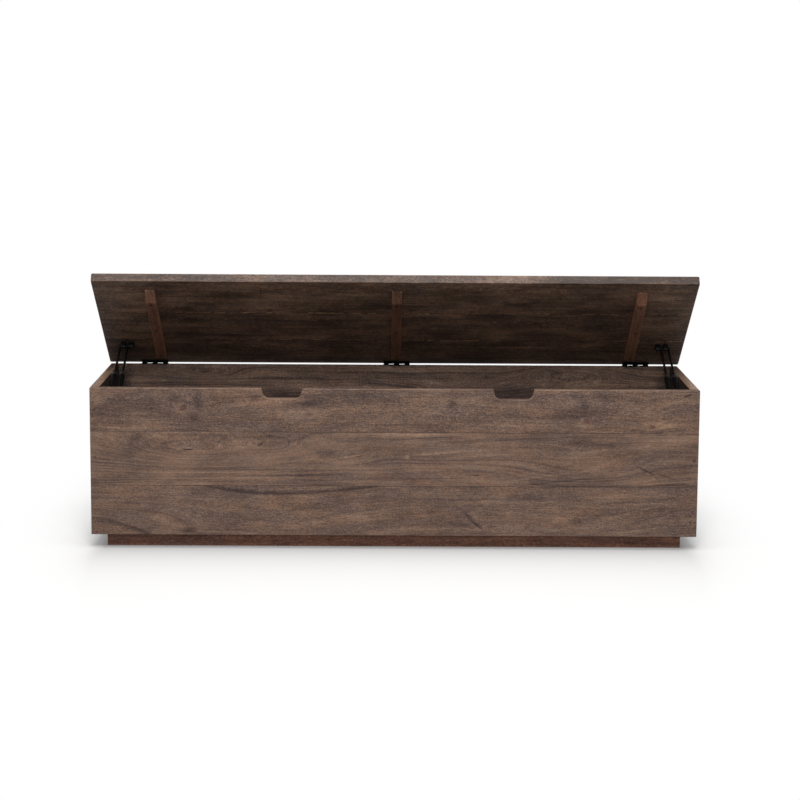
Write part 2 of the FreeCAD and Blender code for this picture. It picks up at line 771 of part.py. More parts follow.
def write_nodes():
    """Check every solid and write one file per node."""
    os.makedirs("parts", exist_ok=True)
    for name, shape in nodes.items():
        if not shape.Solids or not all(solid.isValid() for solid in shape.Solids):
            raise RuntimeError("bad solid in " + name)
        shape.exportStep("parts/" + name + ".step")
    print(len(nodes), "nodes,", sum(len(shape.Solids) for shape in nodes.values()), "solids")


rim_cutters, lid_cutters = hinges()
plinth_forms = plinth()
walls(corner_fasteners() + box_floor(plinth_forms) + rim_cutters + strut_anchors())
lid(lid_cutters + lid_brackets())
struts()
report_joints()
write_nodes()
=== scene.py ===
import json
import math

import bpy
from mathutils import Matrix, Vector


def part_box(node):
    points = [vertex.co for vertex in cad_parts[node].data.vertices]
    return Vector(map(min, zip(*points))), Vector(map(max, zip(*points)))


# The looks of a storage bench with its lid held open: oiled hardwood boards, black hinges
# and gas struts. Object coordinates are metres in the bench's own frame: the origin is on
# the floor under the middle, +X is to the right, +Y is back and +Z is up. A board's figure
# is placed in millimetres along and across its grain.

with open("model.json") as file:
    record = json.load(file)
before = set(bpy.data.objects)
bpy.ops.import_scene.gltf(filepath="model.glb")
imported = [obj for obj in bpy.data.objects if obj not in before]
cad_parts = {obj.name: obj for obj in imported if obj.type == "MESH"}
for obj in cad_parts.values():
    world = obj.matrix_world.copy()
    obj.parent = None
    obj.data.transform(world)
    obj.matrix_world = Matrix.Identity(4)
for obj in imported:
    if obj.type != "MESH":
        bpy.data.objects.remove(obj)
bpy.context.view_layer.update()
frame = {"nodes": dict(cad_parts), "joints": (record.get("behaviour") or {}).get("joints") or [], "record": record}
nodes = frame["nodes"]

hinge = next(joint for joint in frame["joints"] if joint["name"] == "lid_hinge")
lid_angle = math.radians(-hinge["range_deg"][0])
hinge_point = Vector(hinge["pos_m"])

# Heights of the seams between the boards of the walls, in millimetres
seam_high = 1000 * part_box("front_top_board")[0][2]
seam_low = 1000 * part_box("front_middle_board")[0][2]

# Grain directions: along the grain, across it and through the board, and where 0 is
ORIGIN = Vector((0, 0, 0))
GRAIN_X = ((1, 0, 0), (0, 0, 1), (0, 1, 0), ORIGIN)
GRAIN_Y = ((0, 1, 0), (0, 0, 1), (1, 0, 0), ORIGIN)
GRAIN_Z = ((0, 0, 1), (1, 0, 0), (0, 1, 0), ORIGIN)
PANEL_X = ((1, 0, 0), (0, 1, 0), (0, 0, 1), ORIGIN)
lid_across = (0, -math.cos(lid_angle), math.sin(lid_angle))
lid_through = (0, math.sin(lid_angle), math.cos(lid_angle))
LID_X = ((1, 0, 0), lid_across, lid_through, hinge_point)
LID_SLOPE = (lid_across, (1, 0, 0), lid_through, hinge_point)


def srgb(red, green, blue):
    """A colour given as 0 to 255 display values, in linear light with alpha."""
    def linear(value):
        value /= 255
        return value / 12.92 if value <= 0.04045 else ((value + 0.055) / 1.055) ** 2.4
    return (linear(red), linear(green), linear(blue), 1)


# ---------------------------------------------------------------- node helpers

HILL_LEFT = 0.11  # what is left of a hill's rise on its ellipse


class Graph:
    """Adds nodes to a node tree. An input may be a number, a tuple or another node's output."""

    def __init__(self, tree):
        self.tree = tree
        tree.nodes.clear()

    def add(self, kind, inputs, output=0, **settings):
        node = self.tree.nodes.new("ShaderNode" + kind)
        for name, value in settings.items():
            setattr(node, name, value)
        for key, value in inputs.items():
            if isinstance(value, bpy.types.NodeSocket):
                self.tree.links.new(value, node.inputs[key])
            else:
                node.inputs[key].default_value = value
        return node.outputs[output]

    def math(self, operation, *values, clamp=False):
        return self.add("Math", dict(enumerate(values)), operation=operation, use_clamp=clamp)

    def vector(self, operation, *values):
        return self.add("VectorMath", dict(enumerate(values)), operation=operation)

    def dot(self, first, second):
        return self.add("VectorMath", {0: first, 1: second}, "Value", operation="DOT_PRODUCT")

    def length(self, vector):
        return self.add("VectorMath", {0: vector}, "Value", operation="LENGTH")

    def point(self, x, y, z):
        return self.add("CombineXYZ", {0: x, 1: y, 2: z})

    def ramp(self, value, low, high, to_low=0.0, to_high=1.0):
        """Smooth step of a value from one range to another."""
        inputs = {"Value": value, "From Min": low, "From Max": high, "To Min": to_low,
                  "To Max": to_high}
        return self.add("MapRange", inputs, interpolation_type="SMOOTHSTEP")

    def stretch(self, vector, lengths, shift=(0, 0, 0), turn=0):
        """Coordinates from a place, divided by a feature's length along each axis."""
        inputs = {"Vector": vector, "Location": shift, "Rotation": (0, 0, math.radians(turn)),
                  "Scale": lengths}
        return self.add("Mapping", inputs, vector_type="TEXTURE")

    def noise(self, vector, detail=2.0, roughness=0.5, distortion=0.0):
        inputs = {"Vector": vector, "Scale": 1.0, "Detail": detail, "Roughness": roughness,
                  "Distortion": distortion}
        return self.add("TexNoise", inputs)

    def mix(self, factor, first, second, blend="MIX"):
        """A mix of two colours, which are the node's inputs 6 and 7."""
        return self.add("Mix", {0: factor, 6: first, 7: second}, 2, data_type="RGBA",
                        blend_type=blend)

    def colours(self, value, stops):
        """A colour ramp through (place, colour) stops."""
        ramped = self.add("ValToRGB", {0: value})
        elements = ramped.node.color_ramp.elements
        while len(elements) < len(stops):
            elements.new(0.5)
        for element, (place, colour) in zip(elements, stops):
            element.position = place
            element.color = colour
        return ramped

    def bump(self, height, distance, strength=1.0, normal=None):
        inputs = {"Height": height, "Distance": distance, "Strength": strength}
        if normal is not None:
            inputs["Normal"] = normal
        return self.add("Bump", inputs)

    def hill(self, plane, x, z, length, height):
        """1 at a place on the board's face, falling smoothly away on an ellipse round it."""
        local = self.stretch(plane, (length, height, 1), (x, z, 0))
        return self.math("POWER", HILL_LEFT, self.dot(local, local))

    def spot(self, plane, x, z, length, height, turn=0):
        """1 at the middle of an ellipse on the board's face, falling to 0 at its edge."""
        local = self.stretch(plane, (length, height, 1), (x, z, 0), turn)
        return self.ramp(self.length(local), 1.0, 0.0)

    def arc(self, plane, x, z, half, sag, soft, crisp):
        """1 on a curved line on the board's face, crisp on its outer side and soft inside."""
        skew = -0.35  # how far the bow leans to one end
        ends = 0.35   # the share of the bow over which the line fades in
        parts = self.add("SeparateXYZ", {0: plane})
        across = parts.node.outputs[1]
        step = self.math("DIVIDE", self.math("SUBTRACT", parts, x), half)
        bow = self.math("SUBTRACT", 1.0, self.math("MULTIPLY", step, step), clamp=True)
        skewed = self.math("MULTIPLY", bow, self.math("MULTIPLY_ADD", step, skew, 1.0))
        offset = self.math("SUBTRACT", across, self.math("MULTIPLY_ADD", skewed, -sag, z))
        upper, lower = (soft, crisp) if sag > 0 else (crisp, soft)
        above = self.math("DIVIDE", offset, upper)
        below = self.math("DIVIDE", offset, -lower)
        fade = self.ramp(self.math("MAXIMUM", above, below), 1.0, 0.0)
        return self.math("MULTIPLY", fade, self.ramp(bow, 0.0, ends))


def new_material(name, **surface):
    """A material with constant values on its shader, its graph and the shader node."""
    material = bpy.data.materials.new(name)
    material.use_nodes = True
    graph = Graph(material.node_tree)
    shader = graph.tree.nodes.new("ShaderNodeBsdfPrincipled")
    for key, value in surface.items():
        shader.inputs[key].default_value = value
    output = graph.tree.nodes.new("ShaderNodeOutputMaterial")
    graph.tree.links.new(shader.outputs[0], output.inputs[0])
    return material, graph, shader


def link(graph, shader, **sockets):
    for key, value in sockets.items():
        graph.tree.links.new(value, shader.inputs[key.replace("_", " ")])


def give(material, *names):
    """Put a material on CAD nodes."""
    for name in names:
        slots = nodes[name].data.materials
        slots.clear()
        slots.append(material)


# ---------------------------------------------------------------- wood

OILED = {"dark": srgb(58, 45, 42), "low": srgb(92, 75, 67), "high": srgb(122, 100, 86),
         "light": srgb(158, 132, 112), "warm": srgb(130, 84, 68), "pore": srgb(48, 37, 34)}
REDDISH = {"dark": srgb(66, 40, 32), "low": srgb(104, 71, 59), "high": srgb(132, 93, 76),
           "light": srgb(164, 124, 102), "warm": srgb(140, 76, 56), "pore": srgb(50, 31, 26)}
BATTEN = {"dark": srgb(60, 38, 28), "low": srgb(96, 66, 51), "high": srgb(120, 86, 68),
          "light": srgb(148, 114, 94), "warm": srgb(130, 76, 50), "pore": srgb(48, 30, 22)}
# The lid's palette: a darker, browner copy of the oiled one, partly the lid's own wood and partly painted shade
# for its underside
UNDERSIDE = {"dark": srgb(50, 38, 32), "low": srgb(83, 67, 58), "high": srgb(111, 91, 78),
             "light": srgb(146, 122, 104), "warm": srgb(116, 76, 54), "pore": srgb(40, 30, 25)}

# Lengths of the wood's features along, across and through the grain, in millimetres
WAVE = (420, 90, 60)
BROAD = (330, 13, 40)
RING = (520, 6.5, 60)
STREAK = (75, 3.6, 14)
FIBRE = (15, 2.6, 3.6)
GRIT = (4.4, 2.5, 2.5)
BLOTCH = (150, 62, 60)
CLOUD = (60, 26, 30)
WARMTH = (110, 22, 50)
PORE = (7.0, 0.62, 0.9)
PORE_CROWD = (120, 30, 40)
GAP = (26, 400, 400)
GAP_CROWD = (420, 60, 400)

# How much each of them lightens or darkens the wood
BROAD_TONE = 0.44
STREAK_TONE = 0.32
FIBRE_TONE = 0.60
GRIT_TONE = 0.76
CLOUD_TONE = 0.36
RING_DARK = -0.11
RING_LIGHT = 0.06

WAVE_RISE = 34.0    # millimetres that the slow waves bend the figure
SLANT = 0.55        # how far the figure moves across for each millimetre through
FINE_BEND = 0.4     # the share of the bend that the fine features follow
SEED_STEPS = (731.0, 97.0, 53.0)  # how far the noises move for each unit of a board's seed

# How far knots, pores and worn arrises take their own colour
HEART_SHARE = 0.40
PORE_SHARE = 0.62
WEAR_SHARE = 0.45


def knot_marks(x, z, radius):
    """A small knot: a darker heart in a dark spot, with a paler collar round it."""
    return [(x - radius * 0.6, z - radius * 0.4, radius * 4.4, radius * 2.6, 0, 0.15),
            (x, z, radius * 1.6, radius * 1.3, 0, -0.50),
            (x + radius * 0.3, z, radius * 0.9, radius * 0.5, 20, -0.6)]


class Board:
    """The figure of a board, from millimetres along, across and through its grain."""

    def __init__(self, graph, grain, seed, shown):
        *self.axes, origin = grain
        self.graph = graph
        self.shift = tuple(seed * step for step in SEED_STEPS)
        coordinates = graph.tree.nodes.new("ShaderNodeTexCoord")
        self.normal = coordinates.outputs["Normal"]
        place = graph.vector("SUBTRACT", coordinates.outputs["Object"], tuple(origin))
        self.along, self.across, self.through = (
            graph.dot(place, tuple(1000 * part for part in axis)) for axis in self.axes)
        self.flat = graph.point(self.along, self.across, 0.0)
        self.solid = graph.point(self.along, self.across, self.through)
        self.on_face = self.facing(shown, 0.4, 0.8) if shown else 1.0

    def facing(self, direction, low, high):
        """0 to 1 as the face turns towards a direction."""
        return self.graph.ramp(self.graph.dot(self.normal, tuple(direction)), low, high)

    def noise(self, place, lengths, detail=2.0, roughness=0.5, distortion=0.0, shift=None):
        """A noise of the board's own, with features of these lengths."""
        stretched = self.graph.stretch(place, lengths, shift or self.shift)
        return self.graph.noise(stretched, detail, roughness, distortion)

    def bend(self, hills, knots, contrast):
        """The figure's own coordinates, bent by slow waves, hills and knots."""
        graph = self.graph
        wave = self.noise(self.solid, WAVE)
        figure = graph.math("MULTIPLY_ADD", wave, WAVE_RISE * contrast, self.across)
        figure = graph.math("MULTIPLY_ADD", self.through, SLANT, figure)
        knot_hills = [(x, z, radius * 7, radius * 2.6, radius * 3.0) for x, z, radius in knots]
        for x, z, length, height, rise in [*hills, *knot_hills]:
            hill = graph.hill(self.flat, x, z, length, height)
            figure = graph.math("MULTIPLY_ADD", hill, rise, figure)
        self.flow = graph.point(self.along, figure, self.through)
        bent = graph.math("SUBTRACT", figure, self.across)
        gentle = graph.math("MULTIPLY_ADD", bent, FINE_BEND, self.across)
        self.fine_flow = graph.point(self.along, gentle, self.through)

    def grow(self):
        """The noises that several of the board's looks share."""
        first, second, third = self.shift
        self.broad = self.noise(self.flow, BROAD, 3.0, 0.55)
        self.streak = self.noise(self.fine_flow, STREAK, 3.0, 0.6, 0.2)
        self.fibre = self.noise(self.fine_flow, FIBRE, 2.0, 0.6, 0.3)
        self.cloud = self.noise(self.solid, CLOUD, 3.0, 0.6)
        self.warmth = self.noise(self.flow, WARMTH, 3.0, 0.6, shift=(second, third, first))

    def shade(self, tone, contrast, patches, speck, rings, faces):
        """How light the wood is, from about 0 to 1, before its marks."""
        graph = self.graph
        first, second, third = self.shift
        grit = self.noise(self.fine_flow, GRIT, 1.0, 0.5, shift=(third, first, 0))
        ring = self.noise(self.flow, RING, 2.0, 0.5, shift=(second, third, 0))
        blotch = self.noise(self.solid, BLOTCH, 3.0, 0.55)
        middle = 0.5 + tone - BROAD_TONE / 2 * contrast
        value = graph.math("MULTIPLY_ADD", self.broad, BROAD_TONE * contrast, middle)
        for part, weight in ((self.streak, STREAK_TONE), (self.fibre, FIBRE_TONE * speck),
                             (grit, GRIT_TONE * speck), (blotch, patches),
                             (self.cloud, CLOUD_TONE)):
            centred = graph.math("SUBTRACT", part, 0.5)
            value = graph.math("MULTIPLY_ADD", centred, weight * contrast, value)
        dark_line, pale_line = graph.ramp(ring, 0.54, 0.66), graph.ramp(ring, 0.44, 0.34)
        value = graph.math("MULTIPLY_ADD", dark_line, RING_DARK * rings, value)
        value = graph.math("MULTIPLY_ADD", pale_line, RING_LIGHT * rings, value)
        # Whole faces lighter or darker by their direction; the walls and the lid use this for painted light and
        # shade
        for direction, change in faces:
            facing = self.facing(direction, 0.6, 0.9)
            value = graph.math("MULTIPLY_ADD", facing, change, value)
        return value

    def mark(self, value, marks, arcs, knots):
        """Lighten or darken the wood at its marks, which have ragged outlines."""
        graph = self.graph
        ragged_along, ragged_across = 8.0, 4.0
        rough_cloud = graph.math("SUBTRACT", self.cloud, 0.5)
        rough_streak = graph.math("SUBTRACT", self.streak, 0.5)
        self.ragged = graph.point(
            graph.math("MULTIPLY_ADD", rough_cloud, ragged_along, self.along),
            graph.math("MULTIPLY_ADD", rough_streak, ragged_across, self.across), 0.0)
        knotty = [mark for knot in knots for mark in knot_marks(*knot)]
        marked = 0.0
        for *ellipse, change in [*marks, *knotty]:
            spot = graph.spot(self.ragged, *ellipse)
            marked = graph.math("MULTIPLY_ADD", spot, change, marked)
        for *curve, change in arcs:
            line = graph.arc(self.ragged, *curve)
            marked = graph.math("MULTIPLY_ADD", line, change, marked)
        return graph.math("MULTIPLY_ADD", marked, self.on_face, value)

    def colour(self, value, palette, knots):
        """The palette's colour, cooler or warmer in places, and warm in the knots."""
        graph = self.graph
        colour = graph.colours(value, [(0.08, palette["dark"]), (0.36, palette["low"]),
                                       (0.62, palette["high"]), (0.95, palette["light"])])
        tint = graph.colours(self.warmth, [(0.32, (0.95, 0.94, 0.96, 1)),
                                           (0.50, (1.01, 0.94, 0.88, 1)),
                                           (0.68, (1.06, 0.92, 0.81, 1))])
        colour = graph.mix(1.0, colour, tint, "MULTIPLY")
        for x, z, radius in knots:
            heart = graph.spot(self.ragged, x, z, radius * 1.6, radius * 1.2)
            warm = graph.math("MULTIPLY", heart, HEART_SHARE)
            colour = graph.mix(warm, colour, palette["warm"])
        return colour

    def pores(self):
        """Open pores: short dark dashes along the figure, fewer where their crowd is thin."""
        graph = self.graph
        dash = self.noise(self.fine_flow, PORE, 1.0, 0.4)
        crowd = self.noise(self.solid, PORE_CROWD, 1.0)
        return graph.math("MULTIPLY", graph.ramp(dash, 0.60, 0.70),
                          graph.ramp(crowd, 0.25, 0.65, 0.35, 1.0))

    def wear(self):
        """Where the arrises are worn: the normal there is square to none of the axes."""
        graph = self.graph
        leans = [graph.math("ABSOLUTE", graph.dot(self.normal, tuple(axis)))
                 for axis in self.axes]
        squareness = graph.math("MAXIMUM", graph.math("MAXIMUM", leans[0], leans[1]), leans[2])
        return graph.math("MULTIPLY", graph.ramp(squareness, 0.99, 0.80),
                          graph.ramp(self.cloud, 0.35, 0.60, 0.25, 1.0))

    def painted_joint_light(self, distance, half):
        """Painted light, as if it came through an open stretch of a joint."""
        graph = self.graph
        broken = self.noise(self.solid, GAP, 3.0, 0.7)
        here = self.noise(self.solid, GAP_CROWD, 1.0)
        joint_light = graph.math("MULTIPLY", graph.ramp(broken, 0.50, 0.57),
                            graph.ramp(here, 0.40, 0.52))
        joint_light = graph.math("MULTIPLY", joint_light, self.on_face)
        return graph.math("MULTIPLY", joint_light, graph.ramp(distance, 0.8 * half, 0.3))

    def join(self, colour, seams, half, glint, dark):
        """Draw dark lines at the seams, with painted light in open stretches where there is a glint."""
        graph = self.graph
        for level in seams:
            distance = graph.math("ABSOLUTE", graph.math("SUBTRACT", self.across, level))
            joint = graph.math("MULTIPLY", graph.ramp(distance, half, 0.35),
                               graph.ramp(self.warmth, 0.40, 0.56, 0.25, 1.0))
            colour = graph.mix(joint, colour, dark)
            if glint:
                colour = graph.mix(self.painted_joint_light(distance, half), colour, glint)
        return colour

    def relief(self, pore):
        """Slow waves of the figure with fibres and sunk pores on them, in metres."""
        graph = self.graph
        slow, fine = 0.0006, 0.00018
        fibres = graph.math("MULTIPLY", self.fibre, 0.35)
        relief = graph.bump(self.broad, slow, 0.35)
        return graph.bump(graph.math("SUBTRACT", fibres, pore), fine, 0.75, relief)

    def roughness(self, pore, wear):
        """Rougher along the streaks and in the pores, smoother on the worn arrises."""
        graph = self.graph
        rough = graph.math("MULTIPLY_ADD", self.streak, 0.22, 0.44)
        rough = graph.math("MULTIPLY_ADD", pore, 0.18, rough)
        return graph.math("MULTIPLY_ADD", wear, -0.08, rough)


def wood(name, grain, palette=OILED, seed=0.0, hills=(), marks=(), arcs=(), knots=(),
         seams=(), seam_half=1.1, glint=None, contrast=1.0, tone=0.0, patches=0.55,
         speck=1.0, rings=1.0, faces=(), shown=None):
    """Oiled hardwood. hills (x, z, length, height, rise) bend the figure round a place, marks
    (x, z, length, height, turn, tone) lighten or darken a place, arcs (x, z, half length, sag,
    soft side, crisp side, tone) draw a curved line, knots are (x, z, radius), and faces
    (direction, tone) lighten or darken the faces that look that way. Where shown is a
    direction, marks and the painted light of open joints are only on the face that looks that way."""
    material, graph, shader = new_material(name, IOR=1.45, **{"Specular IOR Level": 0.42})
    board = Board(graph, grain, seed, shown)
    board.bend(hills, knots, contrast)
    board.grow()
    value = board.shade(tone, contrast, patches, speck, rings, faces)
    value = board.mark(value, marks, arcs, knots)
    colour = board.colour(value, palette, knots)
    pore = board.pores()
    wear = board.wear()
    colour = graph.mix(graph.math("MULTIPLY", pore, PORE_SHARE), colour, palette["pore"])
    colour = graph.mix(graph.math("MULTIPLY", wear, WEAR_SHARE), colour, palette["light"])
    colour = board.join(colour, seams, seam_half, glint, palette["pore"])
    link(graph, shader, Base_Color=colour, Roughness=board.roughness(pore, wear),
         Normal=board.relief(pore))
    return material


# ---------------------------------------------------------------- metal and plastic

def speckled(name, base, rough, spread, scale, height, surface):
    """A painted or plated surface with fine variation of gloss and a little relief."""
    coarser, shaded = 14, 0.7
    material, graph, shader = new_material(name, **surface)
    coordinates = graph.tree.nodes.new("ShaderNodeTexCoord").outputs["Object"]
    fine = graph.noise(graph.stretch(coordinates, (scale,) * 3), 3.0, 0.6)
    coarse = graph.noise(graph.stretch(coordinates, (scale * coarser,) * 3), 2.0)
    darker = tuple(part * shaded for part in base[:3]) + (1,)
    colour = graph.mix(graph.ramp(coarse, 0.3, 0.7), darker, base)
    roughness = graph.math("MULTIPLY_ADD", coarse, spread, rough - spread / 2)
    link(graph, shader, Base_Color=colour, Roughness=roughness,
         Normal=graph.bump(fine, height, 0.6))
    return material


def metals():
    """The surfaces of hinges, brackets, struts and screws, by name."""
    dull = {"Specular IOR Level": 0.25}
    # name, colour, roughness and its spread, size and height of the specks in metres, surface
    rows = [("black_steel", srgb(18, 18, 19), 0.50, 0.20, 0.0007, 0.00006, dull),
            ("black_tube", srgb(7, 7, 8), 0.40, 0.16, 0.002, 0.00001, dull),
            ("bright_cap", srgb(150, 151, 154), 0.34, 0.14, 0.0004, 0.00002, {"Metallic": 1.0}),
            ("dark_rod", srgb(13, 13, 13), 0.42, 0.16, 0.0005, 0.00001, dull),
            ("black_plastic", srgb(11, 11, 12), 0.55, 0.16, 0.0005, 0.00005, dull),
            ("zinc_screw", srgb(150, 146, 140), 0.42, 0.24, 0.0006, 0.00003, {"Metallic": 0.9}),
            ("dark_screw", srgb(38, 36, 36), 0.34, 0.20, 0.0005, 0.00003, {"Metallic": 0.5})]
    return {row[0]: speckled(*row) for row in rows}


# ---------------------------------------------------------------- boards

def front_boards():
    """The three boards of the front, with their knots, eyes, streaks and dark swooshes."""
    give(wood("front_top_wood", GRAIN_X, seed=1.3, tone=-0.08, patches=0.6, speck=1.15,
              rings=0.7,
              hills=[(-690, 366, 90, 26, 13), (60, 380, 330, 50, -14), (600, 345, 240, 60, 20),
                     (-500, 360, 120, 40, 14)],
              knots=[(-527, 357, 9), (477, 327, 7), (641, 314, 7)],
              marks=[(-547, 381, 30, 17, 0, -0.26), (-490, 378, 18, 36, 8, -0.26),
                     (-502, 335, 26, 16, 0, -0.16), (-700, 372, 50, 16, 20, -0.14),
                     (-346, 383, 24, 12, 0, -0.20), (142, 371, 18, 15, 0, -0.34),
                     (-210, 372, 60, 12, 12, -0.14), (-240, 345, 120, 22, 4, 0.12),
                     (70, 352, 180, 20, -3, 0.14), (455, 352, 120, 26, 4, -0.20),
                     (670, 320, 70, 20, 0, 0.24), (430, 338, 70, 9, 0, -0.16),
                     (470, 372, 26, 24, 30, -0.16), (728, 393, 17, 2.6, 20, -0.80),
                     (700, 378, 60, 8, 12, 0.20), (330, 316, 230, 6, 0, 0.16)],
              seams=[seam_high]), "front_top_board")
    give(wood("front_middle_wood", GRAIN_X, seed=2.7, tone=-0.03, speck=0.75, rings=1.3,
              hills=[(-500, 248, 330, 58, 82), (-290, 262, 90, 34, 30), (-110, 226, 90, 22, 30),
                     (110, 238, 190, 24, 12), (470, 200, 270, 80, 34), (640, 240, 190, 60, -16)],
              knots=[(-338, 266, 3.5), (435, 271, 5), (453, 257, 4)],
              marks=[(-514, 251, 19, 2.8, 0, -0.85), (-436, 264, 22, 3.2, 74, 0.24),
                     (-422, 280, 22, 12, 0, -0.26), (-334, 266, 13, 3.2, 40, -0.75),
                     (-249, 266, 16, 7, 0, 0.22), (-660, 246, 40, 18, 0, -0.20),
                     (-110, 236, 66, 4, 9, 0.34), (-110, 224, 70, 10, 6, 0.18),
                     (-170, 240, 40, 9, 20, -0.18), (30, 236, 12, 16, 0, 0.24),
                     (120, 246, 110, 4, 4, 0.26), (90, 236, 70, 7, 0, -0.16),
                     (628, 203, 30, 2.8, -24, -0.85), (680, 188, 60, 3, -20, -0.20),
                     (200, 190, 18, 3.2, 0, -0.40), (500, 270, 120, 14, -3, -0.22),
                     (-430, 194, 330, 4.5, 0, 0.14), (-380, 181, 380, 4.5, 1, 0.14),
                     (-420, 202, 300, 3.5, 0, -0.20), (-260, 187, 260, 3.2, 1, -0.24),
                     (-360, 172, 300, 4, 1, -0.14), (60, 291, 190, 4, 3, 0.08),
                     (90, 284, 160, 3.0, 3, -0.26), (120, 277, 190, 3.5, 4, 0.14),
                     (330, 282, 200, 3.2, 3, -0.20), (440, 178, 190, 4.0, 6, -0.18),
                     (360, 186, 200, 4, 8, 0.16)],
              arcs=[(530, seam_low + 8, 214, 9, 8, 2.0, -0.34)],
              seams=[seam_high, seam_low]), "front_middle_board")
    give(wood("front_bottom_wood", GRAIN_X, seed=4.1, tone=-0.08, speck=0.95, rings=0.7,
              hills=[(-488, 62, 120, 50, 26), (-270, 20, 330, 150, 60), (500, 60, 260, 70, 30),
                     (214, 60, 60, 24, 14)],
              knots=[(216, 57, 5)],
              marks=[(-514, 48, 28, 13, 0, -0.32), (-488, 76, 18, 32, 0, 0.12),
                     (190, 80, 44, 10, -42, -0.30), (208, 62, 22, 5, -40, -0.55),
                     (460, 74, 38, 13, 0, -0.24), (600, 98, 130, 4, 14, 0.18),
                     (640, 82, 120, 3, 16, -0.16), (742, 88, 5, 4, 0, -0.55),
                     (742, 72, 4, 4, 0, -0.50), (300, 122, 200, 7, 0, 0.10),
                     (130, 52, 200, 10, 0, 0.12), (-100, 100, 160, 12, 8, -0.10)],
              arcs=[(-250, seam_low + 4, 245, 25, 12, 2.2, -0.34),
                    (-742, 34, 142, -44, 16, 2.4, -0.24)],
              seams=[seam_low]), "front_bottom_board")


def other_walls():
    """The back and the ends. The ends' inner faces are painted dark as painted shade, and their tops
    painted lighter as painted light; the back's inner corners carry painted shadow of the struts,
    and the places behind the notches painted shade."""
    give(wood("back_top_wood", GRAIN_X, seed=5.9, tone=-0.02, rings=2.6, contrast=1.3,
              hills=[(-500, 384, 120, 24, 40), (470, 390, 190, 34, -46), (150, 340, 260, 40, 30)],
              knots=[(-330, 330, 5), (250, 372, 4)],
              # The marks but the first are painted shade behind the notches and painted shadow of the struts in
              # the inner corners; shown keeps them on the inner face
              marks=[(430, 392, 60, 4, -16, -0.20), (296, 330, 190, 34, 0, -0.50),
                     (-281, 326, 160, 30, 0, -0.36), (-745, 345, 60, 70, 0, -0.7),
                     (745, 345, 60, 70, 0, -0.7)], seams=[seam_high], shown=(0, -1, 0)),
         "back_top_board")
    give(wood("back_middle_wood", GRAIN_X, seed=7.2, hills=[(200, 230, 340, 60, 84)],
              knots=[(-420, 250, 6), (560, 200, 4)], seams=[seam_high, seam_low]),
         "back_middle_board")
    give(wood("back_bottom_wood", GRAIN_X, seed=8.6, hills=[(-250, 90, 280, 60, 60)],
              knots=[(130, 70, 4)], seams=[seam_low]), "back_bottom_board")
    for side, seed, inward in (("left", 10.4, (1, 0, 0)), ("right", 12.8, (-1, 0, 0))):
        give(wood(side + "_end_wood", GRAIN_Y, seed=seed,
                  hills=[(40, 230, 210, 60, 66), (-60, 350, 160, 40, 30), (-90, 80, 150, 50, 34)],
                  # Inner faces darkened as painted shade, top faces (the rims) lightened as painted light
                  knots=[(-110, 250, 5), (120, 95, 4)], faces=[(inward, -0.7), ((0, 0, 1), 0.16)],
                  seams=[seam_high, seam_low]), side + "_end_boards")


def reach(name):
    """How far a lid board's front edge is from the hinge line, in millimetres."""
    places = (vertex.co for vertex in nodes[name].data.vertices)
    matrix = nodes[name].matrix_world
    return 1000 * max((matrix @ place - hinge_point).dot(lid_across) for place in places)


def lid_boards():
    """The lid: its underside shows, with thin dark lines at its seams and painted light in their open stretches.
    """
    seam_rear = reach("lid_rear_board")
    seam_front = reach("lid_middle_board")
    below = tuple(-part for part in lid_through)
    look = {"palette": UNDERSIDE, "contrast": 1.45, "patches": 0.9, "shown": below,
            # The glint is the colour of painted light showing through open stretches of the seams
            "seam_half": 2.4, "glint": srgb(226, 176, 130),
            # The free edge is darkened as painted shade and the top face lightened as painted light; the board
            # ends are darker
            "faces": [(lid_across, -0.26), (lid_through, 0.06), ((1, 0, 0), -0.15),
                      ((-1, 0, 0), -0.15)]}
    give(wood("lid_rear_wood", LID_X, seed=14.5, tone=-0.12, **look,
              hills=[(-300, 80, 300, 50, 40)], knots=[(-531, 146, 5)],
              marks=[(-540, 60, 60, 14, 0, -0.2), (300, 120, 70, 16, 0, -0.25),
                     (-150, 100, 90, 12, 0, -0.2), (60, 128, 50, 12, 0, -0.3)],
              seams=[seam_rear]), "lid_rear_board")
    give(wood("lid_middle_wood", LID_X, seed=16.1, tone=-0.02, **look,
              hills=[(-531, 250, 110, 26, 30), (420, 220, 300, 50, 50)],
              knots=[(-531, 248, 6), (378, 222, 7), (-180, 286, 6)],
              marks=[(-531, 248, 60, 22, 0, -0.35), (378, 222, 60, 20, 0, -0.4),
                     (-180, 284, 60, 14, 0, -0.4), (120, 180, 90, 12, 0, -0.3),
                     (-420, 165, 60, 12, 0, -0.35), (560, 250, 60, 16, 0, -0.2),
                     (-640, 220, 70, 40, 0, 0.16), (640, 220, 70, 40, 0, 0.16)],
              seams=[seam_rear, seam_front]), "lid_middle_board")
    give(wood("lid_front_wood", LID_X, seed=17.7, tone=0.02, **look,
              hills=[(0, 400, 400, 50, 60)],
              knots=[(-322, 304, 7), (312, 342, 7), (420, 376, 5)],
              marks=[(-340, 402, 16, 2.6, 80, -0.60), (-322, 306, 50, 12, 0, -0.35),
                     (-180, 302, 44, 12, 0, -0.40), (312, 342, 60, 18, 0, -0.35),
                     (-560, 350, 90, 18, 0, 0.15), (420, 376, 40, 14, 0, -0.25),
                     (40, 330, 120, 12, 0, -0.25), (-60, 392, 150, 10, 0, 0.15),
                     (200, 410, 120, 10, 0, -0.22), (-690, 380, 60, 60, 0, 0.18),
                     (690, 380, 60, 60, 0, 0.18)],
              seams=[seam_front]), "lid_front_board")


